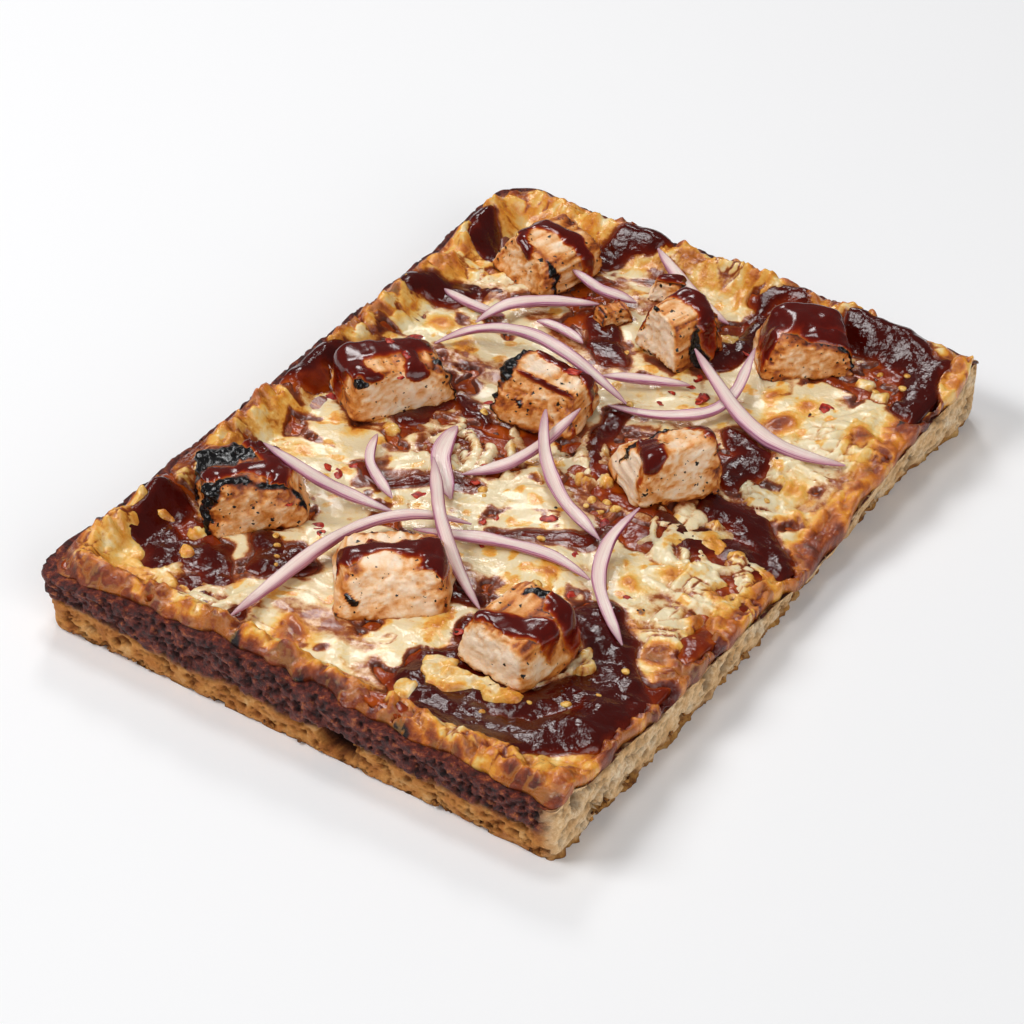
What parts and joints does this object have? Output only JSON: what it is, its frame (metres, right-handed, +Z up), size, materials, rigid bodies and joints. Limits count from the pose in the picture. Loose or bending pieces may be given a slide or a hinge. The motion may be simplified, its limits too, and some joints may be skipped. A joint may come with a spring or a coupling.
{
  "type": "rectangular pizza slice",
  "caption": "Rectangular slice of thick pan pizza with a browned cheese rim, dark barbecue sauce, melted cheese, diced grilled chicken and red onion strips, cut along one long side.",
  "frame": {"origin": "under the middle of the slice, on the plane that it rests on", "axes": "+Z up; +Y along the long side, from the front rim to the back rim; +X to the cut face"},
  "size_m": [0.1721, 0.2362, 0.0376],
  "materials": {
    "crust": "baked bread, golden brown and porous, dark fried cheese at the rim, pale crumb at the cut",
    "sauce": "thick glossy red-brown barbecue sauce",
    "cheese": "melted cheese, cream with golden and brown blisters, greasy sheen",
    "chicken": "grilled diced chicken, pale inside, browned and charred edges",
    "onion": "raw red onion strips, translucent white with magenta skin edges"
  },
  "bodies": {
    "root": {"crust": "crust", "sauce": "sauce", "cheese": "cheese", "chicken_1": "chicken", "chicken_2": "chicken", "chicken_3": "chicken", "chicken_4": "chicken", "chicken_5": "chicken", "chicken_6": "chicken", "chicken_7": "chicken", "chicken_8": "chicken", "chicken_9": "chicken", "chicken_10": "chicken", "chicken_11": "chicken", "onion_1": "onion", "onion_2": "onion", "onion_3": "onion", "onion_4": "onion", "onion_5": "onion", "onion_6": "onion", "onion_7": "onion", "onion_8": "onion", "onion_9": "onion", "onion_10": "onion", "onion_11": "onion", "onion_12": "onion", "onion_13": "onion", "onion_14": "onion", "onion_15": "onion", "onion_16": "onion", "onion_17": "onion", "onion_18": "onion"}
  },
  "joints": []
}
